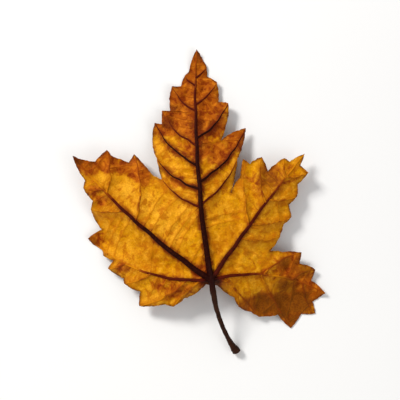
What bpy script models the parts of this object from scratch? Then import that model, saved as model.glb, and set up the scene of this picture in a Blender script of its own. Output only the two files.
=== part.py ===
"""A picked autumn maple leaf: one solid, in metres, +Z up, lying with its ribbed side uppermost.

The leaf grew in one piece, so its blade, veins and stalk are one object. The blade is a sheet over
the leaf's outline: each point of the plan gets a height from the form that the leaf dried into, and
the veins stand out of the upper skin by a formula. The stalk is a tube along a curve, sunk into
the foot of the midrib and joined there.
"""

import math
from typing import NamedTuple

import bmesh
import bpy
import numpy as np
from mathutils import Vector
from mathutils.geometry import delaunay_2d_cdt

MM = 0.001

# All lengths below are in millimetres. A plan position is (x, y) from the junction, where the stalk
# meets the blade, with the middle lobe pointing along +Y.
BLADE_THICKNESS = 0.85
MARGIN_STEP = 2.6
VEIN_STEP = 3  # in points of a vein's line, which are about 1 mm apart
GRID_STEP = 4.2
GRID_CROWDING = 1.7  # a grid point nearer than this to an earlier point is left out
VEIN_CROWDING = 0.32

MARGIN_WAVE = {"height": 1.4, "length": 21.0, "reach": 7.0, "softness": 2.0}

# Kinds of margin point. A side vein runs out to each tooth and each shoulder.
TIP, TOOTH, SHOULDER, NOTCH, BEND = "tip", "tooth", "shoulder", "notch", "bend"

SIDE_VEIN_ANGLES = {TOOTH: math.radians(42), SHOULDER: math.radians(50)}  # from the main vein
SIDE_VEIN_BOWS = (0.08, 0.02, -0.05, -0.12, -0.2, -0.3)  # the first that keeps it inside the margin
SIDE_VEIN_NEAREST = 0.3  # it leaves no nearer the junction than this share of the way to its foot

CROSS_VEIN_STEP = 8.0
CROSS_VEIN_FIRST = 5  # millimetres along a vein before its first cross vein
CROSS_VEIN_ANGLE = math.radians(75)
CROSS_VEIN_GAP = 4.2
CROSS_VEIN_LENGTHS = (3.5, 24.0)
CROSS_VEIN_TURN = 0.022  # radians in each millimetre


class Rib(NamedTuple):
    """How a grade of vein stands out of the blade, and the ridge that it folds the blade into."""

    grade: str
    half_width: float
    height: float
    end: float  # share of its width and height left at its far end
    fold_height: float
    fold_width: float


MAIN_RIB = Rib("main", 1.30, 1.5, 0.35, 2.1, 8.0)
SLIM_RIB = MAIN_RIB._replace(half_width=1.10, height=1.3)
BASAL_RIB = MAIN_RIB._replace(half_width=0.95, height=1.1)
SIDE_RIB = Rib("side", 0.95, 0.9, 0.55, 0.9, 3.2)
CROSS_RIB = Rib("cross", 0.65, 0.45, 0.80, 0.3, 1.6)


class Vein(NamedTuple):
    line: np.ndarray
    rib: Rib


class Lobe(NamedTuple):
    """One lobe of the blade, with its main vein's rib.

    margin goes clockwise from the notch before the lobe: (x, y, bow, kind), where bow is the
    outward bulge of the arc to the next point, as a share of that arc's chord. vein_bow is the
    main vein's bulge in the same sense, to the left of its way out from the junction.
    """

    rib: Rib
    vein_bow: float
    margin: list


LOBES = {
    "left_basal": Lobe(
        BASAL_RIB,
        0.10,
        [
            (-2.2, -2.0, 0.0, BEND),
            (-5.6, -5.2, 0.05, BEND),
            (-12.4, -8.8, 0.04, BEND),
            (-17.4, -12.6, 0.05, TOOTH),
            (-21.6, -11.6, 0.04, NOTCH),
            (-34.2, -12.6, 0.03, TOOTH),
            (-33.6, -5.8, 0.06, NOTCH),
            (-41.4, -1.8, 0.03, TOOTH),
            (-41.6, 0.6, 0.06, NOTCH),
            (-49.2, 5.4, 0.02, TOOTH),
            (-46.6, 9.2, 0.07, NOTCH),
            (-51.6, 11.6, 0.03, TOOTH),
            (-52.2, 14.2, 0.06, NOTCH),
            (-59.2, 19.6, 0.04, TIP),
        ],
    ),
    "left": Lobe(
        MAIN_RIB,
        0.036,
        [
            (-52.4, 24.0, 0.07, NOTCH),
            (-57.4, 33.6, 0.02, TOOTH),
            (-56.2, 37.4, 0.06, NOTCH),
            (-60.6, 43.6, 0.02, TOOTH),
            (-59.8, 47.0, 0.05, NOTCH),
            (-65.2, 58.4, -0.05, TIP),
            (-55.0, 56.2, 0.05, NOTCH),
            (-49.4, 61.6, -0.02, TOOTH),
            (-46.2, 58.4, 0.04, BEND),
            (-39.2, 55.8, 0.04, NOTCH),
            (-36.7, 60.0, 0.02, TOOTH),
            (-28.2, 50.2, -0.02, BEND),
        ],
    ),
    "middle": Lobe(
        MAIN_RIB,
        0.026,
        [
            (-23.4, 47.6, 0.02, SHOULDER),
            (-25.6, 57.2, 0.04, SHOULDER),
            (-28.2, 66.0, 0.05, BEND),
            (-26.8, 75.2, -0.02, TOOTH),
            (-23.4, 74.6, 0.03, NOTCH),
            (-23.4, 81.2, -0.02, TOOTH),
            (-19.6, 81.6, 0.06, NOTCH),
            (-18.8, 93.2, -0.02, TOOTH),
            (-14.5, 93.7, 0.04, NOTCH),
            (-12.3, 99.2, 0.0, TOOTH),
            (-10.5, 100.9, 0.04, NOTCH),
            (-6.8, 111.4, 0.03, TIP),
            (-2.0, 103.4, 0.03, TOOTH),
            (-1.6, 98.4, 0.06, NOTCH),
            (3.0, 95.2, 0.05, TOOTH),
            (3.9, 85.6, 0.03, NOTCH),
            (8.6, 84.9, 0.06, TOOTH),
            (7.4, 74.0, 0.03, BEND),
            (5.2, 66.8, 0.07, NOTCH),
            (17.0, 72.8, 0.05, TOOTH),
            (12.7, 57.4, 0.03, TOOTH),
        ],
    ),
    "right": Lobe(
        SLIM_RIB,
        0.01,
        [
            (9.5, 41.0, 0.06, NOTCH),
            (14.0, 48.6, 0.04, BEND),
            (15.4, 57.4, 0.05, TOOTH),
            (18.6, 55.2, 0.05, NOTCH),
            (24.4, 58.6, 0.03, TOOTH),
            (27.4, 52.0, 0.04, NOTCH),
            (35.2, 58.0, 0.03, TOOTH),
            (37.6, 56.2, 0.04, NOTCH),
            (45.0, 60.2, 0.03, TIP),
            (42.8, 54.4, 0.04, NOTCH),
            (46.4, 50.8, 0.05, TOOTH),
            (41.6, 45.4, 0.06, NOTCH),
            (41.4, 40.0, 0.05, TOOTH),
            (37.2, 35.6, 0.03, NOTCH),
            (38.6, 30.0, 0.06, TOOTH),
            (34.6, 26.2, 0.03, NOTCH),
            (33.0, 20.6, 0.03, SHOULDER),
        ],
    ),
    "right_basal": Lobe(
        BASAL_RIB,
        0.10,
        [
            (28.2, 13.6, 0.06, NOTCH),
            (34.0, 13.2, 0.04, BEND),
            (43.2, 13.0, 0.03, TOOTH),
            (42.4, 7.6, 0.07, NOTCH),
            (50.2, 4.8, 0.03, TOOTH),
            (48.4, -0.4, 0.05, NOTCH),
            (55.0, -6.6, 0.03, TIP),
            (49.0, -10.6, 0.04, NOTCH),
            (50.4, -16.4, 0.04, TOOTH),
            (43.6, -16.6, 0.04, NOTCH),
            (38.6, -23.4, 0.04, TOOTH),
            (32.2, -16.8, 0.05, NOTCH),
            (23.2, -17.6, 0.05, TOOTH),
            (19.6, -15.6, 0.06, NOTCH),
            (13.2, -12.8, 0.05, TOOTH),
            (11.2, -8.4, 0.05, BEND),
            (3.2, -2.6, 0.0, BEND),
        ],
    ),
}

# The form that the leaf dried into: the height of the blade at a few places, which a thin plate
# bent through all of them joins up. Where it dips under the surface it lies flat on it.
FORM = [
    (0.0, 0.0, 15.5),
    (-2.4, 16.0, 17.5),
    (-4.4, 40.0, 16.5),
    (-6.2, 64.0, 12.0),
    (-7.0, 84.0, 5.0),
    (-7.0, 96.0, 0.1),
    (-6.8, 111.4, 3.4),
    (-28.0, 70.0, 5.5),
    (-18.8, 90.0, 3.5),
    (5.0, 88.0, 5.0),
    (17.0, 72.8, 5.0),
    (-23.4, 47.6, 12.0),
    (9.5, 41.0, 13.5),
    (-19.0, 15.0, 16.5),
    (-40.0, 32.0, 13.0),
    (-54.0, 46.0, 11.0),
    (-65.2, 58.4, 13.5),
    (-37.0, 59.0, 7.5),
    (-58.0, 35.0, 6.5),
    (-25.0, 1.5, 12.0),
    (-46.0, 9.0, 4.8),
    (-54.6, 17.0, 0.6),
    (-59.2, 19.6, 1.8),
    (-34.2, -12.6, 8.0),
    (-12.0, -8.6, 12.5),
    (15.0, 20.0, 15.5),
    (32.0, 43.0, 11.0),
    (45.0, 60.2, 8.5),
    (22.0, 56.0, 8.5),
    (40.0, 32.0, 6.5),
    (28.2, 13.6, 10.5),
    (43.2, 13.0, 6.5),
    (44.0, -11.0, -0.4),
    (55.0, -6.6, 2.2),
    (39.0, -22.0, 1.2),
    (22.0, 1.0, 11.0),
    (18.0, -14.8, 7.0),
]

# The stalk's middle line, from its root in the foot of the midrib to its free end.
STALK_PLAN = [
    (-1.5, 12.0), (-0.4, 4.0), (1.0, -5.0), (2.4, -12.5), (5.0, -20.5), (8.4, -28.0), (12.4, -34.5),
]
STALK_HEIGHTS = [19.2, 18.4, 16.6, 13.7, 9.7, 5.5, 2.0]
STALK_RADII = [0.45, 1.35, 1.45, 1.15, 1.05, 1.10, 1.15]
STALK_RINGS = 34
STALK_SIDES = 12
FOOT_RADIUS = 2.0  # the swollen foot at the free end
FOOT_LENGTH = 4.6
SCAR_DEPTH = 0.5

RIB_COLOUR = (0.055, 0.012, 0.006, 1.0)
RIBBED_SIDE_COLOUR = (0.70, 0.33, 0.028, 1.0)
SMOOTH_SIDE_COLOUR = (0.56, 0.19, 0.010, 1.0)
RIB_SLOT, RIBBED_SLOT, SMOOTH_SLOT = 0, 1, 2


def arc(start, end, bow, steps):
    """Points of a shallow arc from start up to, and not with, end; bow is its bulge to the left."""
    start, end = np.array(start, float), np.array(end, float)
    chord = end - start
    left = np.array([-chord[1], chord[0]])
    t = np.arange(steps)[:, None] / steps
    return start + chord * t + left * 4 * bow * t * (1 - t)


def arc_by_step(start, end, bow, step):
    steps = max(1, math.ceil(math.dist(start, end) / step))
    return arc(start, end, bow, steps)


def outline(step):
    """The blade's margin as a closed ring of points, clockwise."""
    corners = [corner for lobe in LOBES.values() for corner in lobe.margin]
    runs = []
    for (x, y, bow, _), (next_x, next_y, _, _) in zip(corners, corners[1:] + corners[:1]):
        runs.append(arc_by_step((x, y), (next_x, next_y), bow, step))
    return np.vstack(runs)


def main_veins(step):
    """The five main veins, from the junction to the tips of their lobes."""
    lines = {}
    for name, lobe in LOBES.items():
        tip = next((x, y) for x, y, _, kind in lobe.margin if kind == TIP)
        lines[name] = np.vstack([arc_by_step((0, 0), tip, lobe.vein_bow, step), [tip]])
    return lines


def side_veins(mains, step):
    """A vein out to each tooth and shoulder, leaving its lobe's main vein at its kind's angle."""
    lines = []
    ring = outline(MARGIN_STEP)
    for name, main in mains.items():
        along = np.concatenate([[0], np.cumsum(np.linalg.norm(np.diff(main, axis=0), axis=1))])
        for x, y, _, kind in LOBES[name].margin:
            if kind not in SIDE_VEIN_ANGLES:
                continue
            away = np.linalg.norm(main - (x, y), axis=1)
            foot = int(away.argmin())
            leaves_at = along[foot] - away[foot] / math.tan(SIDE_VEIN_ANGLES[kind])
            leaves_at = max(leaves_at, SIDE_VEIN_NEAREST * along[foot])
            start = [np.interp(leaves_at, along, main[:, axis]) for axis in (0, 1)]
            out, ahead = np.array([x, y]) - start, main[-1] - start
            side = -math.copysign(1, out[0] * ahead[1] - out[1] * ahead[0])
            for bow in SIDE_VEIN_BOWS:
                line = np.vstack([arc_by_step(start, (x, y), side * bow, step), [(x, y)]])
                if clear_of_margin(ring, line[: int(0.86 * len(line))]):
                    break
            lines.append(line)
    return lines


def clear_of_margin(ring, line):
    return inside(ring, line).all() and nearest_on(np.vstack([ring, ring[:1]]), line)[0].min() > 0.9


def cross_veins(lines):
    """Short veins from one vein towards the next, kept apart from each other by CROSS_VEIN_GAP."""
    made = []
    for own, line in enumerate(lines):
        others = [other for i, other in enumerate(lines) if i != own]
        heading = np.gradient(line, axis=0)
        for i in range(CROSS_VEIN_FIRST, len(line) - CROSS_VEIN_FIRST, round(CROSS_VEIN_STEP)):
            for side in (1, -1):
                way = math.atan2(*heading[i][::-1]) + side * CROSS_VEIN_ANGLE
                path = run_across(line[i], way, side * CROSS_VEIN_TURN, others)
                if path is None or made and nearest_point(np.vstack(made), path) < CROSS_VEIN_GAP:
                    continue
                made.append(path)
    return made


def run_across(start, way, turn, others):
    """The path of a cross vein, in steps of 1 mm, up to the next vein; None if it meets none."""
    path = [start]
    while len(path) < CROSS_VEIN_LENGTHS[1]:
        path.append(path[-1] + (math.cos(way), math.sin(way)))
        way += turn
        if nearest_point(np.vstack(others), path[-1:]) < 0.7:
            whole = len(path) > CROSS_VEIN_LENGTHS[0] and inside(outline(MARGIN_STEP), np.array(path)).all()
            return np.array(path) if whole else None
    return None


def nearest_point(points, path):
    return np.linalg.norm(points[:, None] - np.array(path)[None], axis=2).min()


def all_veins():
    mains = main_veins(1.0)
    sides = side_veins(mains, 1.0)
    crosses = cross_veins([*mains.values(), *sides])
    veins = [Vein(line, LOBES[name].rib) for name, line in mains.items()]
    veins += [Vein(line, SIDE_RIB) for line in sides]
    return veins + [Vein(line, CROSS_RIB) for line in crosses]


def nearest_on(line, points):
    """For each point, its distance to a line of points and the share of the line's length there."""
    start, span = line[:-1], np.diff(line, axis=0)
    lengths = np.linalg.norm(span, axis=1)
    before = np.concatenate([[0], np.cumsum(lengths)])
    offset = points[:, None, :] - start[None]
    t = np.clip((offset * span).sum(2) / (lengths**2), 0, 1)
    away = np.linalg.norm(offset - t[..., None] * span, axis=2)
    nearest = away.argmin(1)
    rows = np.arange(len(points))
    share = (before[nearest] + t[rows, nearest] * lengths[nearest]) / before[-1]
    return away[rows, nearest], share


def inside(ring, points):
    """True for each point that lies within the ring, by the even-odd rule."""
    x, y = points[:, 0, None], points[:, 1, None]
    (x0, y0), (x1, y1) = ring.T, np.roll(ring, -1, axis=0).T
    crosses = (y0 > y) != (y1 > y)
    rise = np.where(y1 == y0, 1, y1 - y0)
    return (crosses & (x < x0 + (y - y0) * (x1 - x0) / rise)).sum(1) % 2 == 1


def thin_plate(x, y):
    """The height at (x, y) of a thin plate bent through the heights in FORM."""
    known = np.array(FORM)
    count = len(known)

    def spread(squared):
        return 0.5 * squared * np.log(np.maximum(squared, 1e-9))

    gaps = ((known[:, None, :2] - known[None, :, :2]) ** 2).sum(2)
    flat = np.column_stack([np.ones(count), known[:, :2]])
    system = np.block([[spread(gaps), flat], [flat.T, np.zeros((3, 3))]])
    weights = np.linalg.solve(system, np.concatenate([known[:, 2], np.zeros(3)]))
    squared = (x[:, None] - known[:, 0]) ** 2 + (y[:, None] - known[:, 1]) ** 2
    return spread(squared) @ weights[:count] + weights[count] + weights[count + 1] * x + weights[count + 2] * y


def swell(distance, width):
    return np.exp(-((distance / width) ** 2))


def taper(rib, share):
    return rib.end + (1 - rib.end) * (1 - share)


def margin_distance(points):
    ring = outline(MARGIN_STEP)
    return nearest_on(np.vstack([ring, ring[:1]]), points)


def margin_wave(points, away):
    """How high the margin's wave stands at each plan point, which is away from the margin by away.

    A margin point counts for less the further it is beyond the nearest one, so that the wave goes
    over smoothly from one side of a lobe to the other.
    """
    ring = outline(MARGIN_STEP)
    steps = np.linalg.norm(np.roll(ring, -1, axis=0) - ring, axis=1)
    waves = round(steps.sum() / MARGIN_WAVE["length"])
    crest = np.sin(2 * math.pi * waves * np.cumsum(steps) / steps.sum())
    gap = np.linalg.norm(points[:, None] - ring[None], axis=2)
    weight = steps * np.exp((away[:, None] - gap) / MARGIN_WAVE["softness"])
    wave = (weight * crest).sum(1) / weight.sum(1)
    return MARGIN_WAVE["height"] * np.exp(-away / MARGIN_WAVE["reach"]) * wave


def middle_heights(points, veins):
    """The height of the blade's middle at each plan point: form, folds at the veins and waves."""
    height = thin_plate(points[:, 0], points[:, 1])
    folds = {grade: np.zeros(len(points)) for grade in ("main", "side", "cross")}
    for line, rib in veins:
        away, share = nearest_on(line, points)
        fold = rib.fold_height * taper(rib, share) * np.exp(-((away / rib.fold_width) ** 2))
        folds[rib.grade] = np.maximum(folds[rib.grade], fold)
    height += sum(folds.values()) - MAIN_RIB.fold_height / 2
    return height + margin_wave(points, margin_distance(points)[0])


def rib_heights(points, veins):
    """How far the veins stand out of the upper skin at each plan point."""
    height = np.zeros(len(points))
    for line, rib in veins:
        away, share = nearest_on(line, points)
        rise = 1 - (away / (rib.half_width * taper(rib, share))) ** 2
        height = np.maximum(height, rib.height * taper(rib, share) * np.maximum(rise, 0))
    return height


def feet(vein):
    """The two lines along which a vein's rib meets the blade."""
    heading = np.gradient(vein.line, axis=0)
    heading /= np.linalg.norm(heading, axis=1)[:, None]
    left = np.column_stack([-heading[:, 1], heading[:, 0]])
    reach = vein.rib.half_width * taper(vein.rib, np.linspace(0, 1, len(vein.line)))
    return [vein.line + left * reach[:, None], vein.line - left * reach[:, None]]


def even_grid(low, high):
    rows = np.arange(low[1], high[1], GRID_STEP * math.sqrt(0.75))
    columns = np.arange(low[0], high[0], GRID_STEP)
    return np.array([(x + GRID_STEP / 2 * (row % 2), y) for row, y in enumerate(rows) for x in columns])


def blade_plan(veins):
    """(points, triangles) of the blade's plan: margin first, then vein lines, then an even grid."""
    ring = outline(MARGIN_STEP)
    wanted = [(vein.line[::VEIN_STEP], VEIN_CROWDING) for vein in veins]
    wanted += [(foot[::VEIN_STEP], VEIN_CROWDING) for vein in veins for foot in feet(vein)]
    wanted.append((even_grid(ring.min(0), ring.max(0)), GRID_CROWDING))
    kept = ring
    for points, crowding in wanted:
        points = points[inside(ring, points)]
        points = points[margin_distance(points)[0] > crowding]
        for point in points:
            if np.linalg.norm(kept - point, axis=1).min() > crowding:
                kept = np.vstack([kept, point])
    edges = [(i, (i + 1) % len(ring)) for i in range(len(ring))]
    inside_edges = 1  # the triangulation's mode that keeps only what the edges enclose
    made = delaunay_2d_cdt([Vector(p) for p in kept], edges, [], inside_edges, 1e-6)
    return np.array([tuple(p) for p in made[0]]), np.array([tuple(face) for face in made[2]])


def blade_mesh():
    """The blade as a closed mesh: two skins split into triangles alike, and a wall round the margin."""
    veins = all_veins()
    points, triangles = blade_plan(veins)
    lower = np.maximum(middle_heights(points, veins) - BLADE_THICKNESS / 2, 0)
    upper = lower + BLADE_THICKNESS + rib_heights(points, veins)
    coloured = [vein for vein in veins if vein.rib.grade != "cross"]
    on_rib = rib_heights(points[triangles].mean(axis=1), coloured) > 0
    mesh = bmesh.new()
    top = [mesh.verts.new((x * MM, y * MM, z * MM)) for (x, y), z in zip(points, upper)]
    bottom = [mesh.verts.new((x * MM, y * MM, z * MM)) for (x, y), z in zip(points, lower)]
    for (a, b, c), ribbed in zip(triangles, on_rib):
        mesh.faces.new((top[a], top[b], top[c])).material_index = RIB_SLOT if ribbed else RIBBED_SLOT
        mesh.faces.new((bottom[a], bottom[c], bottom[b])).material_index = SMOOTH_SLOT
    edges = [edge for edge in mesh.edges if edge.is_boundary]
    wall = bmesh.ops.bridge_loops(mesh, edges=edges)
    for face in wall["faces"]:
        face.material_index = SMOOTH_SLOT
    bmesh.ops.recalc_face_normals(mesh, faces=mesh.faces)
    return mesh


def stalk_rings():
    """(middle, radius) of each ring of the stalk, along a smooth curve through its plan and heights."""
    known = np.column_stack([np.array(STALK_PLAN), STALK_HEIGHTS, STALK_RADII])
    knots = np.arange(len(known))
    rings = []
    for t in np.linspace(0, len(known) - 1, STALK_RINGS):
        i = min(int(t), len(known) - 2)
        before, start, end, after = (known[np.clip(k, 0, knots[-1])] for k in (i - 1, i, i + 1, i + 2))
        u = t - i
        value = 0.5 * (
            2 * start
            + (end - before) * u
            + (2 * before - 5 * start + 4 * end - after) * u**2
            + (3 * start - before - 3 * end + after) * u**3
        )
        rings.append((Vector(value[:3]), value[3]))
    end = rings[-1][0]
    return [(middle, foot_radius(radius, (end - middle).length)) for middle, radius in rings]


def foot_radius(radius, from_end):
    swelling = math.exp(-((from_end / FOOT_LENGTH) ** 2))
    return radius + (FOOT_RADIUS - radius) * swelling


def stalk_mesh():
    """The stalk as a closed tube, with a hollow scar in its free end."""
    rings = stalk_rings()
    mesh = bmesh.new()
    loops = []
    for i, (middle, radius) in enumerate(rings):
        ahead = (rings[min(i + 1, len(rings) - 1)][0] - rings[max(i - 1, 0)][0]).normalized()
        across = ahead.cross(Vector((0, 0, 1))).normalized()
        up = across.cross(ahead)
        loop = []
        for k in range(STALK_SIDES):
            turn = 2 * math.pi * k / STALK_SIDES
            spoke = across * math.cos(turn) + up * math.sin(turn)
            loop.append(mesh.verts.new((middle + spoke * radius) * MM))
        loops.append(loop)
    for near, far in zip(loops, loops[1:]):
        for k in range(STALK_SIDES):
            after = (k + 1) % STALK_SIDES
            mesh.faces.new((near[k], far[k], far[after], near[after]))
    end, before = rings[-1][0], rings[-2][0]
    scar = mesh.verts.new((end - (end - before).normalized() * SCAR_DEPTH) * MM)
    root = mesh.verts.new(rings[0][0] * MM)
    for k in range(STALK_SIDES):
        after = (k + 1) % STALK_SIDES
        mesh.faces.new((loops[-1][k], loops[-1][after], scar))
        mesh.faces.new((loops[0][after], loops[0][k], root))
    bmesh.ops.recalc_face_normals(mesh, faces=mesh.faces)
    return mesh


def material(name, colour, roughness):
    made = bpy.data.materials.new(name)
    made.use_nodes = True
    shader = made.node_tree.nodes["Principled BSDF"]
    shader.inputs["Base Color"].default_value = colour
    shader.inputs["Roughness"].default_value = roughness
    shader.inputs["Metallic"].default_value = 0.0
    made.diffuse_color = colour
    return made


def object_of(name, mesh, materials):
    data = bpy.data.meshes.new(name)
    mesh.to_mesh(data)
    mesh.free()
    for each in materials:
        data.materials.append(each)
    made = bpy.data.objects.new(name, data)
    bpy.context.scene.collection.objects.link(made)
    return made


def join(body, other):
    """Joins other into body with one Boolean union, and removes other."""
    union = body.modifiers.new("stalk joins blade", "BOOLEAN")
    union.operation = "UNION"
    union.solver = "EXACT"
    union.object = other
    graph = bpy.context.evaluated_depsgraph_get()
    body.data = bpy.data.meshes.new_from_object(body.evaluated_get(graph))
    body.modifiers.clear()
    bpy.data.objects.remove(other)


def stand_on_origin(body):
    """Moves the mesh so that the origin is under the middle of its box, on the surface it lies on."""
    corners = np.array([vertex.co for vertex in body.data.vertices])
    low, high = corners.min(0), corners.max(0)
    shift = Vector((*(-(low + high) / 2)[:2], -low[2]))
    for vertex in body.data.vertices:
        vertex.co += shift


def main():
    for obj in list(bpy.data.objects):
        bpy.data.objects.remove(obj)
    finishes = [
        material("rib and stalk", RIB_COLOUR, 0.5),
        material("ribbed side", RIBBED_SIDE_COLOUR, 0.65),
        material("smooth side", SMOOTH_SIDE_COLOUR, 0.55),
    ]
    leaf = object_of("maple_leaf", blade_mesh(), finishes)
    stalk = object_of("stalk", stalk_mesh(), finishes)
    join(leaf, stalk)
    stand_on_origin(leaf)
    leaf.data.shade_smooth()
    leaf.data.set_sharp_from_angle(angle=math.radians(40))


main()
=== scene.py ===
import math
from typing import NamedTuple

import bpy
import numpy as np
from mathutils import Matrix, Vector
from mathutils.geometry import delaunay_2d_cdt


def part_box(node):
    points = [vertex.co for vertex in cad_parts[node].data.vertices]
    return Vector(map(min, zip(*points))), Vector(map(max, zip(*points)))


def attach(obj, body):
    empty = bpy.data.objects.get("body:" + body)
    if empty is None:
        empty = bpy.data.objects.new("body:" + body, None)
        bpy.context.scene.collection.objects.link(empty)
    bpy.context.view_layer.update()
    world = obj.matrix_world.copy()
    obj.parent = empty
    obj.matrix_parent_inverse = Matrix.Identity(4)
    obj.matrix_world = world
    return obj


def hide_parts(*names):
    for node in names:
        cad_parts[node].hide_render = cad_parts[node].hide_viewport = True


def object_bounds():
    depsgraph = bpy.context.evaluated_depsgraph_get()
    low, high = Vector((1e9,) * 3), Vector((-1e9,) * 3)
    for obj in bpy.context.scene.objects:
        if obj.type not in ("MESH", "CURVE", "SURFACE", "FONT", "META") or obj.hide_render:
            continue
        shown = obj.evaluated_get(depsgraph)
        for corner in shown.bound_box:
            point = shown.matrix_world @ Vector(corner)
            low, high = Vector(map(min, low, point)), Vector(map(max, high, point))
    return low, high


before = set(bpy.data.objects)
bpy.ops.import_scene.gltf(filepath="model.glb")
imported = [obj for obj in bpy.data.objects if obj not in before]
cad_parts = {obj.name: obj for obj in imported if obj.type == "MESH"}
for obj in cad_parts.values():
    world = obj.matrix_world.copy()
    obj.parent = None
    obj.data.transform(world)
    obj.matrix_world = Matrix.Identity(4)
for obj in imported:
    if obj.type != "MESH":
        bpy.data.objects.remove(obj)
cad_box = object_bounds()

MM = 0.001

# Lengths are in millimetres, and a plan position is (x, y) from the junction, where the stalk meets
# the blade, with the middle lobe pointing along +Y. place() puts them into the model's frame.
BLADE_THICKNESS = 0.36
OUTLINE_STEP = 0.5
BLADE_STEP = 0.5
COARSE_STEP = 2.6
BLADE_CLEARANCE = 0.55  # how near the margin the blade's inner points come, in steps
ROUGH_REACH = 2.0  # further in than this they are clear of the rough margin
SHARP_BLADE = math.radians(60)
SHARP_STALK = math.radians(50)

MARGIN_WAVE = {"height": 1.4, "length": 21.0, "reach": 7.0, "softness": 2.0}
# Uneven fields: (size, the length of their bumps, seed). The first are sideways, the second in height.
MARGIN_ROUGHNESS = [(0.132, 3.2, 11), (0.088, 1.3, 12)]
CRINKLES = [(0.60, 11.0, 3), (0.26, 4.2, 4), (0.07, 1.9, 5)]
CRINKLE_AT_VEINS = 0.2  # share of the crinkles that is left on a vein
FREE_AT_CROSS_VEINS = 0.4  # how free of veins the blade counts as on a cross vein
MARGIN_MARK = 0.9  # how wide the margin is dark

# Kinds of margin point. A side vein runs out to each tooth and each shoulder.
TIP, TOOTH, SHOULDER, NOTCH, BEND = "tip", "tooth", "shoulder", "notch", "bend"

SIDE_VEIN_ANGLES = {TOOTH: math.radians(42), SHOULDER: math.radians(50)}  # from the main vein
SIDE_VEIN_BOWS = (0.08, 0.02, -0.05, -0.12, -0.2, -0.3)  # the first that keeps it inside the margin
SIDE_VEIN_NEAREST = 0.3  # it leaves no nearer the junction than this share of the way to its foot
SIDE_VEIN_CLEARANCE = {"share": 0.86, "distance": 0.9}  # how much of it keeps that far inside

CROSS_VEIN_STEP = 4
CROSS_VEIN_FIRST = 4
CROSS_VEIN_ANGLE = math.radians(75)
CROSS_VEIN_GAP = 2.1
CROSS_VEIN_LENGTHS = (3, 34)
CROSS_VEIN_TURN = 0.018  # radians in each millimetre
CROSS_VEIN_MEETS = 0.7  # how near another vein it ends
CROSS_VEIN_MARK = 0.42  # how wide it colours the blade

# How far each grade of vein strays sideways, over what length, and the seed.
VEIN_WANDER = {"main": (0.30, 13.0, 31), "side": (0.38, 8.0, 32), "cross": (0.30, 4.0, 33)}


class Rib(NamedTuple):
    """How a grade of vein stands out of the blade, and the ridge that it folds the blade into."""

    grade: str
    half_width: float
    end: float  # share of its size left at its far end
    fold_height: float
    fold_width: float
    quilt_depth: float  # how far the blade sinks away from it
    quilt_width: float
    halo_reach: float  # how far it darkens the blade on each side


MAIN_RIB = Rib("main", 1.45, 0.24, 2.1, 8.0, 0.0, 2.4, 2.6)
SLIM_RIB = MAIN_RIB._replace(half_width=1.15, halo_reach=2.1)
BASAL_RIB = MAIN_RIB._replace(half_width=0.85, halo_reach=1.7)
SIDE_RIB = Rib("side", 0.55, 0.35, 0.9, 3.2, 0.75, 2.2, 2.3)
CROSS_RIB = Rib("cross", 0.18, 0.60, 0.3, 1.6, 0.42, 1.2, 0.0)
FOLD_REACH = 9.0  # beyond this a side or cross vein doesn't move the blade
# A rib's section: Crown is its height and Sunk its depth below the upper skin, as shares of its size.
RIB_SECTION = {"Sides": 14, "Crown": 1.0, "Sunk": 0.22}
RIB_TILT_REACH = 0.5  # the least distance to each side over which a rib takes up the blade's slope
RIB_HALO = 0.6  # a rib is at least this much as dark as the blade beside it

# By the junction the blade is darker, and the ribs stand a little higher, clear of its smooth side.
JUNCTION = {"dark": 2.2, "lift": 0.23, "reach": 4.6}


class Vein(NamedTuple):
    line: np.ndarray
    rib: Rib
    dark: float  # from 0, the blade's own colour, to 1, nearly black
    fades_at: float = 1.15  # the share of its length by which it has lost that darkness


class Lobe(NamedTuple):
    """One lobe of the blade, with its main vein's rib.

    margin goes clockwise from the notch before the lobe: (x, y, bow, kind), where bow is the
    outward bulge of the arc to the next point, as a share of that arc's chord. vein_bow is the
    main vein's bulge in the same sense, to the left of its way out from the junction. vein_dark
    and side_dark are how dark its main vein and its side veins are, from 0 to 1, and fades_at is
    the share of the main vein's length by which it has lost that darkness.
    """

    rib: Rib
    vein_bow: float
    vein_dark: float
    fades_at: float
    side_dark: float
    margin: list


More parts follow.
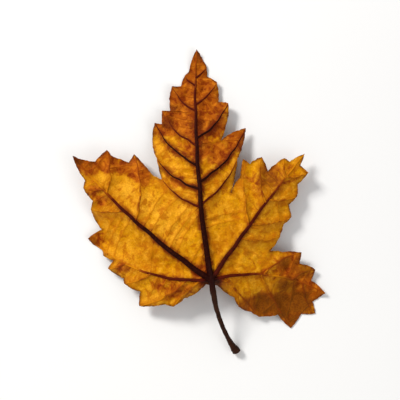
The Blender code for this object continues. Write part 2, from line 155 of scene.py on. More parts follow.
LOBES = {
    "left_basal": Lobe(BASAL_RIB, 0.10, 0.62, 0.62, 0.20, [
        (-2.2, -2.0, 0.0, BEND), (-5.6, -5.2, 0.05, BEND), (-12.4, -8.8, 0.04, BEND),
        (-17.4, -12.6, 0.05, TOOTH), (-21.6, -11.6, 0.04, NOTCH), (-34.2, -12.6, 0.03, TOOTH),
        (-33.6, -5.8, 0.06, NOTCH), (-41.4, -1.8, 0.03, TOOTH), (-41.6, 0.6, 0.06, NOTCH),
        (-49.2, 5.4, 0.02, TOOTH), (-46.6, 9.2, 0.07, NOTCH), (-51.6, 11.6, 0.03, TOOTH),
        (-52.2, 14.2, 0.06, NOTCH), (-59.2, 19.6, 0.04, TIP),
    ]),
    "left": Lobe(MAIN_RIB, 0.036, 1.0, 0.82, 0.22, [
        (-52.4, 24.0, 0.07, NOTCH), (-57.4, 33.6, 0.02, TOOTH), (-56.2, 37.4, 0.06, NOTCH),
        (-60.6, 43.6, 0.02, TOOTH), (-59.8, 47.0, 0.05, NOTCH), (-65.2, 58.4, -0.05, TIP),
        (-55.0, 56.2, 0.05, NOTCH), (-49.4, 61.6, -0.02, TOOTH), (-46.2, 58.4, 0.04, BEND),
        (-39.2, 55.8, 0.04, NOTCH), (-36.7, 60.0, 0.02, TOOTH), (-28.2, 50.2, -0.02, BEND),
    ]),
    "middle": Lobe(MAIN_RIB, 0.026, 1.05, 0.98, 0.55, [
        (-23.4, 47.6, 0.02, SHOULDER), (-25.6, 57.2, 0.04, SHOULDER), (-28.2, 66.0, 0.05, BEND),
        (-26.8, 75.2, -0.02, TOOTH), (-23.4, 74.6, 0.03, NOTCH), (-23.4, 81.2, -0.02, TOOTH),
        (-19.6, 81.6, 0.06, NOTCH), (-18.8, 93.2, -0.02, TOOTH), (-14.5, 93.7, 0.04, NOTCH),
        (-12.3, 99.2, 0.0, TOOTH), (-10.5, 100.9, 0.04, NOTCH), (-6.8, 111.4, 0.03, TIP),
        (-2.0, 103.4, 0.03, TOOTH), (-1.6, 98.4, 0.06, NOTCH), (3.0, 95.2, 0.05, TOOTH),
        (3.9, 85.6, 0.03, NOTCH), (8.6, 84.9, 0.06, TOOTH), (7.4, 74.0, 0.03, BEND),
        (5.2, 66.8, 0.07, NOTCH), (17.0, 72.8, 0.05, TOOTH), (12.7, 57.4, 0.03, TOOTH),
    ]),
    "right": Lobe(SLIM_RIB, 0.01, 0.74, 0.88, 0.22, [
        (9.5, 41.0, 0.06, NOTCH), (14.0, 48.6, 0.04, BEND), (15.4, 57.4, 0.05, TOOTH),
        (18.6, 55.2, 0.05, NOTCH), (24.4, 58.6, 0.03, TOOTH), (27.4, 52.0, 0.04, NOTCH),
        (35.2, 58.0, 0.03, TOOTH), (37.6, 56.2, 0.04, NOTCH), (45.0, 60.2, 0.03, TIP),
        (42.8, 54.4, 0.04, NOTCH), (46.4, 50.8, 0.05, TOOTH), (41.6, 45.4, 0.06, NOTCH),
        (41.4, 40.0, 0.05, TOOTH), (37.2, 35.6, 0.03, NOTCH), (38.6, 30.0, 0.06, TOOTH),
        (34.6, 26.2, 0.03, NOTCH), (33.0, 20.6, 0.03, SHOULDER),
    ]),
    "right_basal": Lobe(BASAL_RIB, 0.10, 0.55, 0.55, 0.24, [
        (28.2, 13.6, 0.06, NOTCH), (34.0, 13.2, 0.04, BEND), (43.2, 13.0, 0.03, TOOTH),
        (42.4, 7.6, 0.07, NOTCH), (50.2, 4.8, 0.03, TOOTH), (48.4, -0.4, 0.05, NOTCH),
        (55.0, -6.6, 0.03, TIP), (49.0, -10.6, 0.04, NOTCH), (50.4, -16.4, 0.04, TOOTH),
        (43.6, -16.6, 0.04, NOTCH), (38.6, -23.4, 0.04, TOOTH), (32.2, -16.8, 0.05, NOTCH),
        (23.2, -17.6, 0.05, TOOTH), (19.6, -15.6, 0.06, NOTCH), (13.2, -12.8, 0.05, TOOTH),
        (11.2, -8.4, 0.05, BEND), (3.2, -2.6, 0.0, BEND),
    ]),
}

# The form that the leaf dried into: the height of the blade at a few places, which a thin plate
# bent through all of them joins up. Where it dips under the surface it lies flat on it.
FORM = [
    (0.0, 0.0, 15.5), (-2.4, 16.0, 17.5), (-4.4, 40.0, 16.5), (-6.2, 64.0, 12.0),
    (-7.0, 84.0, 5.0), (-7.0, 96.0, 0.1), (-6.8, 111.4, 3.4), (-28.0, 70.0, 5.5),
    (-18.8, 90.0, 3.5), (5.0, 88.0, 5.0), (17.0, 72.8, 5.0), (-23.4, 47.6, 12.0),
    (9.5, 41.0, 13.5), (-19.0, 15.0, 16.5), (-40.0, 32.0, 13.0), (-54.0, 46.0, 11.0),
    (-65.2, 58.4, 13.5), (-37.0, 59.0, 7.5), (-58.0, 35.0, 6.5), (-25.0, 1.5, 12.0),
    (-46.0, 9.0, 4.8), (-54.6, 17.0, 0.6), (-59.2, 19.6, 1.8), (-34.2, -12.6, 8.0),
    (-12.0, -8.6, 12.5), (15.0, 20.0, 15.5), (32.0, 43.0, 11.0), (45.0, 60.2, 8.5),
    (22.0, 56.0, 8.5), (40.0, 32.0, 6.5), (28.2, 13.6, 10.5), (43.2, 13.0, 6.5),
    (44.0, -11.0, -0.4), (55.0, -6.6, 2.2), (39.0, -22.0, 1.2), (22.0, 1.0, 11.0),
    (18.0, -14.8, 7.0),
]

# Where the blade has turned rust, where it is gold, and where it is a dull brown: (x, y, reach,
# strength). The gold patches along the left lobe are partly a painted highlight, where light catches
# its folds. The rust and brown ones over the right basal lobe, and the brown ones over the right
# lobe, are partly painted shade.
RUST_AND_PAINTED_SHADE_PATCHES = [
    (-8.0, 102.0, 15.0, 1.05), (-10.0, 88.0, 14.0, 1.05), (-17.0, 81.5, 8.0, 1.38),
    (3.0, 84.0, 8.0, 0.70), (-20.5, 75.0, 5.5, 1.75), (1.5, 74.0, 5.0, 1.60),
    (-6.0, 73.0, 6.0, 1.80), (-5.5, 64.0, 4.0, 1.50), (-16.0, 94.0, 5.0, 1.20),
    (-3.0, 92.0, 5.0, 1.15), (14.0, 70.0, 4.0, 1.25), (-6.0, 64.0, 8.0, 0.80),
    (-14.0, 62.0, 8.0, 0.38), (12.0, 67.0, 6.5, 0.90), (4.0, 60.0, 7.0, 0.75),
    (-12.0, 78.0, 8.0, 1.10), (-16.0, 48.0, 6.0, 0.35), (-63.0, 56.5, 5.5, 1.35),
    (-57.0, 54.5, 5.0, 1.15), (-49.0, 56.0, 6.0, 1.00), (-40.0, 54.5, 5.5, 0.90),
    (-33.5, 51.0, 5.5, 1.10), (-56.0, 42.0, 4.5, 0.60), (-52.5, 38.0, 3.5, 0.70),
    (-55.5, 20.0, 5.0, 0.75), (-17.0, -4.0, 7.0, 0.60), (-24.0, -2.0, 5.0, 0.55),
    # From here on, the patches over the right basal lobe are partly painted shade.
    (-42.0, 6.0, 4.0, 0.60), (19.0, -12.5, 6.0, 0.80), (28.0, -12.0, 7.0, 1.05),
    (38.0, -15.0, 10.0, 1.00), (47.0, -5.0, 9.0, 1.00), (38.0, 6.0, 8.0, 0.85),
    (40.0, 54.0, 7.0, 0.25), (30.0, 49.0, 9.0, 0.52), (22.0, 46.0, 8.0, 0.36),
    (24.0, 4.0, 8.0, 0.34), (-3.0, 3.0, 6.0, 0.80), (0.0, 0.0, 4.0, 1.30),
]
# The line of these along the left lobe, from the junction out to its tip, is partly a painted
# highlight.
GOLD_AND_PAINTED_HIGHLIGHT_PATCHES = [
    (-17.0, 21.0, 6.0, 0.70), (-24.0, 28.0, 7.0, 0.95), (-32.0, 36.0, 7.0, 1.00),
    (-39.0, 43.0, 6.0, 1.00), (-45.0, 49.0, 5.0, 0.55), (-54.0, 48.0, 4.0, 0.55),
    (-26.5, 63.0, 4.0, 0.70), (-42.0, 10.0, 9.0, 0.45), (-28.0, -9.0, 6.0, 0.70),
    (-20.0, 52.0, 5.0, 0.50), (2.0, 32.0, 7.0, 0.45), (-12.0, 34.0, 7.0, 0.85),
    (-18.0, 60.0, 6.0, 0.62), (26.0, 32.0, 8.0, 0.35), (20.0, 18.0, 8.0, 0.30),
    (6.5, 78.0, 3.5, 0.90), (12.0, 12.0, 7.0, 0.20),
]
# Those over the right basal lobe and the right lobe are partly painted shade, darkening them as if
# turned from the light.
BROWN_AND_PAINTED_SHADE_PATCHES = [
    (17.0, -10.5, 5.0, 0.80), (25.0, -11.5, 6.0, 1.50), (34.0, -12.5, 7.5, 1.60),
    (40.0, -19.0, 6.0, 0.95), (43.0, -11.0, 7.5, 1.35), (37.0, -4.0, 7.5, 1.00),
    (36.0, 8.0, 5.0, 0.90), (44.0, 6.0, 7.0, 0.90), (-56.5, 18.5, 4.0, 0.75),
    (-27.5, 69.0, 3.5, 0.55), (-62.0, 56.0, 3.5, 0.60), (-40.0, 3.0, 4.0, 0.40),
    (-13.0, -6.0, 5.0, 0.55), (28.0, 48.0, 9.0, 0.85), (33.0, 40.0, 6.0, 0.45),
]

# The side veins that stand out darkest, by the tooth or shoulder that they run to.
DARK_SIDE_VEINS = [(-25.6, 57.2), (-26.8, 75.2), (17.0, 72.8), (8.6, 84.9)]
CROSS_VEIN_DARK = 0.08

STALK = [  # x, y, height and radius
    (-1.5, 12.0, 19.2, 0.45), (-0.4, 4.0, 18.4, 1.35), (1.0, -5.0, 16.6, 1.45),
    (2.4, -12.5, 13.7, 1.15), (5.0, -20.5, 9.7, 1.05), (8.4, -28.0, 5.5, 1.10),
    (12.4, -34.5, 2.0, 1.15),
]
STALK_RINGS = 180
STALK_SIDES = 28
FOOT_RADIUS = 2.0
FOOT_LENGTH = 4.6
STALK_LUMPS = [(0.07, 3.4, 21), (0.045, 1.1, 22)]  # share of the radius, length, seed
STALK_LUMP_SIZE = 1.2  # the radius at which the lumps are read
STALK_RIDGES = {"count": 3, "height": 0.035, "turn": 0.6}
SCAR = [(0.90, 0.06), (0.72, -0.20), (0.48, -0.42), (0.22, -0.50)]  # share of the radius, how far out

AT_ONCE = 4000  # points that are measured at a time


def arc(start, end, bow, steps):
    """Points of a shallow arc from start up to, and not with, end; bow is its bulge to the left."""
    start, end = np.array(start, float), np.array(end, float)
    chord = end - start
    left = np.array([-chord[1], chord[0]])
    t = np.arange(steps)[:, None] / steps
    return start + chord * t + left * 4 * bow * t * (1 - t)


def arc_by_step(start, end, bow, step):
    steps = max(1, math.ceil(math.dist(start, end) / step))
    return arc(start, end, bow, steps)


def outline(step):
    """The blade's margin as a closed ring of points, clockwise."""
    corners = [corner for lobe in LOBES.values() for corner in lobe.margin]
    runs = []
    for (x, y, bow, _), (next_x, next_y, _, _) in zip(corners, corners[1:] + corners[:1]):
        runs.append(arc_by_step((x, y), (next_x, next_y), bow, step))
    return np.vstack(runs)


def main_veins(step):
    """The five main veins, from the junction to the tips of their lobes."""
    lines = {}
    for name, lobe in LOBES.items():
        tip = next((x, y) for x, y, _, kind in lobe.margin if kind == TIP)
        lines[name] = np.vstack([arc_by_step((0, 0), tip, lobe.vein_bow, step), [tip]])
    return lines


def side_veins(mains, step):
    """Veins out to each tooth and shoulder of each lobe, from its main vein."""
    made = []
    ring = outline(COARSE_STEP)
    for name, main in mains.items():
        along = np.concatenate([[0], np.cumsum(np.linalg.norm(np.diff(main, axis=0), axis=1))])
        for x, y, _, kind in LOBES[name].margin:
            if kind not in SIDE_VEIN_ANGLES:
                continue
            away = np.linalg.norm(main - (x, y), axis=1)
            foot = int(away.argmin())
            leaves_at = along[foot] - away[foot] / math.tan(SIDE_VEIN_ANGLES[kind])
            leaves_at = max(leaves_at, SIDE_VEIN_NEAREST * along[foot])
            start = [np.interp(leaves_at, along, main[:, axis]) for axis in (0, 1)]
            out, ahead = np.array([x, y]) - start, main[-1] - start
            side = -math.copysign(1, out[0] * ahead[1] - out[1] * ahead[0])
            for bow in SIDE_VEIN_BOWS:
                line = np.vstack([arc_by_step(start, (x, y), side * bow, step), [(x, y)]])
                if clear_of_margin(ring, line):
                    break
            dark = 1.0 if (x, y) in DARK_SIDE_VEINS else LOBES[name].side_dark
            made.append(Vein(line, SIDE_RIB, dark))
    return made


def clear_of_margin(ring, line):
    line = line[: int(SIDE_VEIN_CLEARANCE["share"] * len(line))]
    away = nearest_on(np.vstack([ring, ring[:1]]), line)[0]
    return inside(ring, line).all() and away.min() > SIDE_VEIN_CLEARANCE["distance"]


def cross_veins(veins):
    """Short veins from one vein to the next or to the margin, kept CROSS_VEIN_GAP from each other."""
    made = []
    ring = outline(COARSE_STEP)
    for own, vein in enumerate(veins):
        line = vein.line
        others = np.vstack([other.line for i, other in enumerate(veins) if i != own])
        heading = np.gradient(line, axis=0)
        for i in range(CROSS_VEIN_FIRST, len(line) - CROSS_VEIN_FIRST, CROSS_VEIN_STEP):
            for side in (1, -1):
                way = math.atan2(*heading[i][::-1]) + side * CROSS_VEIN_ANGLE
                path = run_across(line[i], way, side * CROSS_VEIN_TURN, others, ring)
                if path is None or made and nearest_point(np.vstack(made), path) < CROSS_VEIN_GAP:
                    continue
                made.append(path)
    return [Vein(path, CROSS_RIB, CROSS_VEIN_DARK) for path in made]


def run_across(start, way, turn, others, ring):
    """The path of a cross vein, in steps of 1 mm, up to the next vein or just short of the margin."""
    path = [start]
    while len(path) < CROSS_VEIN_LENGTHS[1]:
        path.append(path[-1] + (math.cos(way), math.sin(way)))
        way += turn
        at_vein = nearest_point(others, path[-1:]) < CROSS_VEIN_MEETS
        at_margin = not inside(ring, np.array(path[-1:])).all()
        if at_vein or at_margin:
            path = path if at_vein else path[:-2]
            return np.array(path) if len(path) > CROSS_VEIN_LENGTHS[0] else None
    return None


def nearest_point(points, path):
    return np.linalg.norm(points[:, None] - np.array(path)[None], axis=2).min()


def wander(vein):
    """The same vein, straying a little to each side between its two ends."""
    sideways, length, seed = VEIN_WANDER[vein.rib.grade]
    heading = np.gradient(vein.line, axis=0)
    heading /= np.linalg.norm(heading, axis=1)[:, None]
    left = np.column_stack([-heading[:, 1], heading[:, 0]])
    held = np.sin(math.pi * np.linspace(0, 1, len(vein.line))) ** 0.5
    stray = sideways * held * crinkle(vein.line, length, seed)
    return vein._replace(line=vein.line + left * stray[:, None])


def all_veins():
    mains = main_veins(1.0)
    veins = []
    for name, line in mains.items():
        lobe = LOBES[name]
        veins.append(wander(Vein(line, lobe.rib, lobe.vein_dark, lobe.fades_at)))
    veins += [wander(vein) for vein in side_veins(mains, 1.0)]
    return veins + [wander(vein) for vein in cross_veins(veins)]


def nearest_on(line, points):
    """For each point, its distance to a line of points and the share of the line's length there."""
    if len(points) > AT_ONCE:
        parts = [nearest_on(line, part) for part in np.array_split(points, len(points) // AT_ONCE + 1)]
        return tuple(np.concatenate(values) for values in zip(*parts))
    start, span = line[:-1], np.diff(line, axis=0)
    lengths = np.linalg.norm(span, axis=1)
    before = np.concatenate([[0], np.cumsum(lengths)])
    offset = points[:, None, :] - start[None]
    t = np.clip((offset * span).sum(2) / (lengths**2), 0, 1)
    away = np.linalg.norm(offset - t[..., None] * span, axis=2)
    nearest = away.argmin(1)
    rows = np.arange(len(points))
    share = (before[nearest] + t[rows, nearest] * lengths[nearest]) / before[-1]
    return away[rows, nearest], share


def inside(ring, points):
    """True for each point that lies within the ring, by the even-odd rule."""
    x, y = points[:, 0, None], points[:, 1, None]
    (x0, y0), (x1, y1) = ring.T, np.roll(ring, -1, axis=0).T
    crosses = (y0 > y) != (y1 > y)
    rise = np.where(y1 == y0, 1, y1 - y0)
    return (crosses & (x < x0 + (y - y0) * (x1 - x0) / rise)).sum(1) % 2 == 1


def thin_plate(x, y):
    """The height at (x, y) of a thin plate bent through the heights in FORM."""
    known = np.array(FORM)
    count = len(known)

    def spread(squared):
        return 0.5 * squared * np.log(np.maximum(squared, 1e-9))

    gaps = ((known[:, None, :2] - known[None, :, :2]) ** 2).sum(2)
    flat = np.column_stack([np.ones(count), known[:, :2]])
    system = np.block([[spread(gaps), flat], [flat.T, np.zeros((3, 3))]])
    weights = np.linalg.solve(system, np.concatenate([known[:, 2], np.zeros(3)]))
    squared = (x[:, None] - known[:, 0]) ** 2 + (y[:, None] - known[:, 1]) ** 2
    level, slope_x, slope_y = weights[count:]
    return spread(squared) @ weights[:count] + level + slope_x * x + slope_y * y


def swell(distance, width):
    return np.exp(-((distance / width) ** 2))


def taper(rib, share):
    return rib.end + (1 - rib.end) * (1 - share)


def darkness(vein, share):
    return vein.dark * np.clip(1 - (share / vein.fades_at) ** 4, 0, 1)


def crinkle(points, length, seed, waves=26):
    """A smooth uneven field of about -1 to 1 over the plan, whose bumps are about length apart."""
    draw = np.random.default_rng(seed)
    way = draw.uniform(0, 2 * math.pi, waves)
    number = 2 * math.pi / (length * draw.uniform(0.7, 1.5, waves))
    start = draw.uniform(0, 2 * math.pi, waves)
    run = points[:, :1] * (np.cos(way) * number) + points[:, 1:2] * (np.sin(way) * number)
    return np.sin(run + start).sum(1) * math.sqrt(2 / waves) / 2


def margin_distance(points):
    ring = outline(COARSE_STEP)
    return nearest_on(np.vstack([ring, ring[:1]]), points)


def margin_wave(points, away):
    """How high the margin's wave stands at each plan point, which is away from the margin by away.

    A margin point counts for less the further it is beyond the nearest one, so that the wave goes
    over smoothly from one side of a lobe to the other.
    """
    if len(points) > AT_ONCE:
        parts = len(points) // AT_ONCE + 1
        pairs = zip(np.array_split(points, parts), np.array_split(away, parts))
        return np.concatenate([margin_wave(part, its_away) for part, its_away in pairs])
    ring = outline(COARSE_STEP)
    steps = np.linalg.norm(np.roll(ring, -1, axis=0) - ring, axis=1)
    waves = round(steps.sum() / MARGIN_WAVE["length"])
    crest = np.sin(2 * math.pi * waves * np.cumsum(steps) / steps.sum())
    gap = np.linalg.norm(points[:, None] - ring[None], axis=2)
    weight = steps * np.exp((away[:, None] - gap) / MARGIN_WAVE["softness"])
    wave = (weight * crest).sum(1) / weight.sum(1)
    return MARGIN_WAVE["height"] * np.exp(-away / MARGIN_WAVE["reach"]) * wave


def near_junction(points):
    """1 at the junction, falling to 0 away from it."""
    return swell(np.linalg.norm(points, axis=1), JUNCTION["reach"])


def close_to(line, points, reach):
    """The numbers of the points that are within reach of a line's box."""
    low, high = line.min(0) - reach, line.max(0) + reach
    return np.flatnonzero(((points >= low) & (points <= high)).all(axis=1))


class Blade:
    """The blade's height and its colour fields at each of some plan points."""

    def __init__(self, points, veins):
        count = len(points)
        self.halo, self.net = np.zeros(count), np.zeros(count)
        folds = {grade: np.zeros(count) for grade in ("main", "side", "cross")}
        near = {grade: np.zeros(count) for grade in folds}
        for vein in veins:
            line, rib = vein.line, vein.rib
            rows = np.arange(count) if rib.grade == "main" else close_to(line, points, FOLD_REACH)
            if not len(rows):
                continue
            away, share = nearest_on(line, points[rows])
            size = taper(rib, share)
            fold, by = folds[rib.grade], near[rib.grade]
            fold[rows] = np.maximum(fold[rows], rib.fold_height * size * swell(away, rib.fold_width))
            by[rows] = np.maximum(by[rows], swell(away, rib.quilt_width))
            if rib.grade == "cross":
                self.net[rows] = np.maximum(self.net[rows], swell(away, CROSS_VEIN_MARK))
            else:
                halo = darkness(vein, share) * size**0.5 * swell(away, rib.halo_reach)
                self.halo[rows] = np.maximum(self.halo[rows], halo)
        self.halo = np.maximum(self.halo, JUNCTION["dark"] * near_junction(points))
        away = margin_distance(points)[0]
        self.margin = swell(away, MARGIN_MARK)
        # Rust and brown are partly painted shade over the right lobes, and gold is partly a painted
        # highlight on the left lobe.
        self.rust = patches(points, RUST_AND_PAINTED_SHADE_PATCHES)
        self.gold = patches(points, GOLD_AND_PAINTED_HIGHLIGHT_PATCHES)
        self.brown = patches(points, BROWN_AND_PAINTED_SHADE_PATCHES)
        free = 1 - np.maximum(near["side"], near["main"])  # 0 on a main or side vein, 1 well away
        self.free = free * (1 - (1 - FREE_AT_CROSS_VEINS) * near["cross"])
        height = thin_plate(points[:, 0], points[:, 1])
        height += sum(folds.values()) - MAIN_RIB.fold_height / 2
        height += margin_wave(points, away)
        height -= SIDE_RIB.quilt_depth * (free - 0.5)
        height -= CROSS_RIB.quilt_depth * (1 - near["cross"]) * free
        loose = CRINKLE_AT_VEINS + (1 - CRINKLE_AT_VEINS) * free
        for size, length, seed in CRINKLES:
            height += size * loose * crinkle(points, length, seed)
        self.height = height


def patches(points, places):
    """How strongly a list of (x, y, reach, strength) patches colours each point."""
    strength = np.zeros(len(points))
    for x, y, reach, peak in places:
        strength = np.maximum(strength, peak * swell(np.linalg.norm(points - (x, y), axis=1), reach))
    return strength


def rough_outline():
    """The margin with its fine unevenness."""
    ring = outline(OUTLINE_STEP)
    ahead = np.roll(ring, -1, axis=0) - np.roll(ring, 1, axis=0)
    out = np.column_stack([-ahead[:, 1], ahead[:, 0]]) / np.linalg.norm(ahead, axis=1)[:, None]
    uneven = sum(size * crinkle(ring, length, seed) for size, length, seed in MARGIN_ROUGHNESS)
    return ring + out * uneven[:, None]


def blade_plan():
    """(points, triangles) of the blade's plan: the margin, then an even grid inside it."""
    ring = rough_outline()
    low, high = ring.min(0), ring.max(0)
    rows = np.arange(low[1], high[1], BLADE_STEP * math.sqrt(0.75))
    columns = np.arange(low[0], high[0], BLADE_STEP)
    aside = BLADE_STEP / 2  # by which every second row is set off
    grid = np.array([(x + aside * (row % 2), y) for row, y in enumerate(rows) for x in columns])
    grid = grid[inside(ring, grid)]
    near = np.flatnonzero(margin_distance(grid)[0] < ROUGH_REACH)
    away = nearest_on(np.vstack([ring, ring[:1]]), grid[near])[0]
    grid = np.delete(grid, near[away < BLADE_CLEARANCE * BLADE_STEP], axis=0)
    points = np.vstack([ring, grid])
    edges = [(i, (i + 1) % len(ring)) for i in range(len(ring))]
    inside_edges = 1  # the triangulation's mode that keeps only what the edges enclose
    made = delaunay_2d_cdt([Vector(p) for p in points], edges, [], inside_edges, 1e-6)
    return np.array([tuple(p) for p in made[0]]), np.array([tuple(face) for face in made[2]])


def place(points):
    """Plan positions and heights in millimetres, as positions in the model's frame in metres."""
    low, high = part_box("maple_leaf")
    ring = outline(COARSE_STEP)
    shift = np.array([low[0] / MM - ring[:, 0].min(), high[1] / MM - ring[:, 1].max(), 0.0])
    return (points + shift) * MM


def store(mesh, name, values):
    """Gives each point of a mesh a value or a vector."""
    values = np.asarray(values, dtype=np.float32)
    kind, field = ("FLOAT", "value") if values.ndim == 1 else ("FLOAT_VECTOR", "vector")
    mesh.attributes.new(name, kind, "POINT").data.foreach_set(field, values.ravel())


def object_of(name, mesh, materials):
    for each in materials:
        mesh.materials.append(each)
    made = bpy.data.objects.new(name, mesh)
    bpy.context.scene.collection.objects.link(made)
    return made


def blade_object(veins, ribbed_side, smooth_side):
    """The blade as a thin closed shell: two skins alike and a wall round the margin."""
    points, triangles = blade_plan()
    blade = Blade(points, veins)
    half = BLADE_THICKNESS / 2
    lower = np.maximum(blade.height - half, 0.0)
    upper = lower + BLADE_THICKNESS
    count = len(points)
    corners = place(np.vstack([np.column_stack([points, upper]), np.column_stack([points, lower])]))
    sides = np.vstack([triangles[:, [0, 1]], triangles[:, [1, 2]], triangles[:, [2, 0]]])
    known = {tuple(side) for side in sides.tolist()}
    rim = [(a, b) for a, b in known if (b, a) not in known]
    faces = triangles.tolist()
    faces += (triangles[:, ::-1] + count).tolist()
    faces += [(b, a, a + count, b + count) for a, b in rim]
    mesh = bpy.data.meshes.new("leaf_blade")
    mesh.from_pydata(corners.tolist(), [], faces)
    slots = np.zeros(len(faces), dtype=np.int32)
    slots[len(triangles) : 2 * len(triangles)] = 1
    mesh.polygons.foreach_set("material_index", slots)
    for name in ("halo", "net", "margin", "free", "rust", "gold", "brown"):
        store(mesh, name, np.tile(getattr(blade, name), 2))
    mesh.shade_smooth()
    mesh.set_sharp_from_angle(angle=SHARP_BLADE)
    return object_of("leaf_blade", mesh, [ribbed_side, smooth_side])


def rib_lines(veins):
    """The veins as one mesh of lines on the blade's upper skin, with what the rib tree reads."""
    lines = [vein.line if vein.rib.grade == "cross" else vein.line[:-1] for vein in veins]
    headings = [np.gradient(line, axis=0) for line in lines]
    heading = np.vstack([way / np.linalg.norm(way, axis=1)[:, None] for way in headings])
    left = np.column_stack([-heading[:, 1], heading[:, 0]])
    reaches = [max(vein.rib.half_width, RIB_TILT_REACH) for vein in veins]
    middle = np.vstack(lines)
    aside = left * np.repeat(reaches, [len(line) for line in lines])[:, None]
    blade = Blade(middle, veins)
    lift = np.maximum(blade.height - BLADE_THICKNESS / 2, 0) + BLADE_THICKNESS
    lift += JUNCTION["lift"] * near_junction(middle)
    slope = Blade(middle + aside, veins).height - Blade(middle - aside, veins).height
    across = np.column_stack([aside * 2, slope])
    across /= np.linalg.norm(across, axis=1)[:, None]
    shares = [np.linspace(0, 1, len(line)) for line in lines]
    size = [vein.rib.half_width * taper(vein.rib, share) for vein, share in zip(veins, shares)]
    dark = [darkness(vein, share) for vein, share in zip(veins, shares)]
    first = np.cumsum([0] + [len(line) for line in lines])
    edges = [(i, i + 1) for start, end in zip(first, first[1:]) for i in range(start, end - 1)]
    mesh = bpy.data.meshes.new("rib_lines")
    mesh.from_pydata(place(np.column_stack([middle, lift])).tolist(), edges, [])
    store(mesh, "rib_size", np.concatenate(size) * MM)
    store(mesh, "dark", np.maximum(np.concatenate(dark), RIB_HALO * blade.halo))
    # Rust and brown carry over the blade's patches, which are partly painted shade over the right
    # lobes.
    store(mesh, "rust", blade.rust)
    store(mesh, "brown", blade.brown)
    store(mesh, "across", across)
    return mesh


def node(tree, kind, inputs=None, **settings):
    """A node whose inputs, by name or number, are given values or linked to other nodes' outputs."""
    made = tree.nodes.new(kind)
    for name, value in settings.items():
        setattr(made, name, value)
    for name, value in (inputs or {}).items():
        if isinstance(value, bpy.types.NodeSocket):
            tree.links.new(value, made.inputs[name])
        else:
            made.inputs[name].default_value = value
    return made


def named_value(tree, name, kind="FLOAT"):
    made = node(tree, "GeometryNodeInputNamedAttribute", {"Name": name}, data_type=kind)
    return made.outputs["Attribute"]


def rib_tree():
    """Turns the vein lines into ribs, round-backed and flat underneath."""
    tree = bpy.data.node_groups.new("ribs along vein lines", "GeometryNodeTree")
    inputs = {"Vein Lines": "Geometry", "Sides": "Int", "Crown": "Float", "Sunk": "Float"}
    inputs["Finish"] = "Material"
    for label, kind in inputs.items():
        tree.interface.new_socket(label, in_out="INPUT", socket_type="NodeSocket" + kind)
    tree.interface.new_socket("Ribs", in_out="OUTPUT", socket_type="NodeSocketGeometry")
    given = tree.nodes.new("NodeGroupInput").outputs
    inputs = {"Resolution": given["Sides"], "Radius": 1.0}
    circle = node(tree, "GeometryNodeCurvePrimitiveCircle", inputs)
    position = node(tree, "GeometryNodeInputPosition").outputs[0]
    at = node(tree, "ShaderNodeSeparateXYZ", {0: position}).outputs
    rise = calculate(tree, "MULTIPLY", at["Y"], given["Crown"])
    base = calculate(tree, "MULTIPLY", given["Sunk"], -1.0)
    height = calculate(tree, "MAXIMUM", rise, base)
    flat = node(tree, "ShaderNodeCombineXYZ", {"X": at["X"], "Y": height}).outputs[0]
    profile = node(tree, "GeometryNodeSetPosition", {"Geometry": circle.outputs[0], "Position": flat})
    curves = node(tree, "GeometryNodeMeshToCurve", {"Mesh": given["Vein Lines"]})
    inputs = {"Curve": curves.outputs[0], "Normal": named_value(tree, "across", "FLOAT_VECTOR")}
    turned = node(tree, "GeometryNodeSetCurveNormal", inputs, mode="FREE")
    inputs = {"Curve": turned.outputs[0], "Profile Curve": profile.outputs[0]}
    inputs |= {"Scale": named_value(tree, "rib_size"), "Fill Caps": True}
    swept = node(tree, "GeometryNodeCurveToMesh", inputs)
    smooth = node(tree, "GeometryNodeSetShadeSmooth", {"Geometry": swept.outputs[0]})
    real = node(tree, "GeometryNodeRealizeInstances", {"Geometry": smooth.outputs[0]})
    inputs = {"Geometry": real.outputs[0], "Material": given["Finish"]}
    finished = node(tree, "GeometryNodeSetMaterial", inputs)
    node(tree, "NodeGroupOutput", {0: finished.outputs[0]})
    return tree


def grown(name, mesh, tree, **inputs):
    """The mesh that a Geometry Nodes tree makes from another mesh, as an object of its own."""
    source = object_of(name + "_source", mesh, [])
    made = source.modifiers.new(name, "NODES")
    made.node_group = tree
    for item in tree.interface.items_tree:
        if item.in_out == "INPUT" and item.name in inputs:
            made[item.identifier] = inputs[item.name]
    graph = bpy.context.evaluated_depsgraph_get()
    result = bpy.data.meshes.new_from_object(source.evaluated_get(graph))
    source.modifiers.clear()
    bpy.data.objects.remove(source)
    result.name = name
    return object_of(name, result, [])


def stalk_path():
    """(middle, radius) of each ring of the stalk, along a smooth curve through its plan and heights."""
    known = np.array(STALK)
    last = len(known) - 1
    rings = []
    for t in np.linspace(0, last, STALK_RINGS):
        i = min(int(t), last - 1)
        before, start, end, after = (known[np.clip(k, 0, last)] for k in (i - 1, i, i + 1, i + 2))
        u = t - i
        value = 0.5 * (
            2 * start
            + (end - before) * u
            + (2 * before - 5 * start + 4 * end - after) * u**2
            + (3 * start - before - 3 * end + after) * u**3
        )
        rings.append(value)
    rings = np.array(rings)
    from_end = np.linalg.norm(rings[:, :3] - rings[-1, :3], axis=1)
    rings[:, 3] += (FOOT_RADIUS - rings[:, 3]) * swell(from_end, FOOT_LENGTH)
    return rings


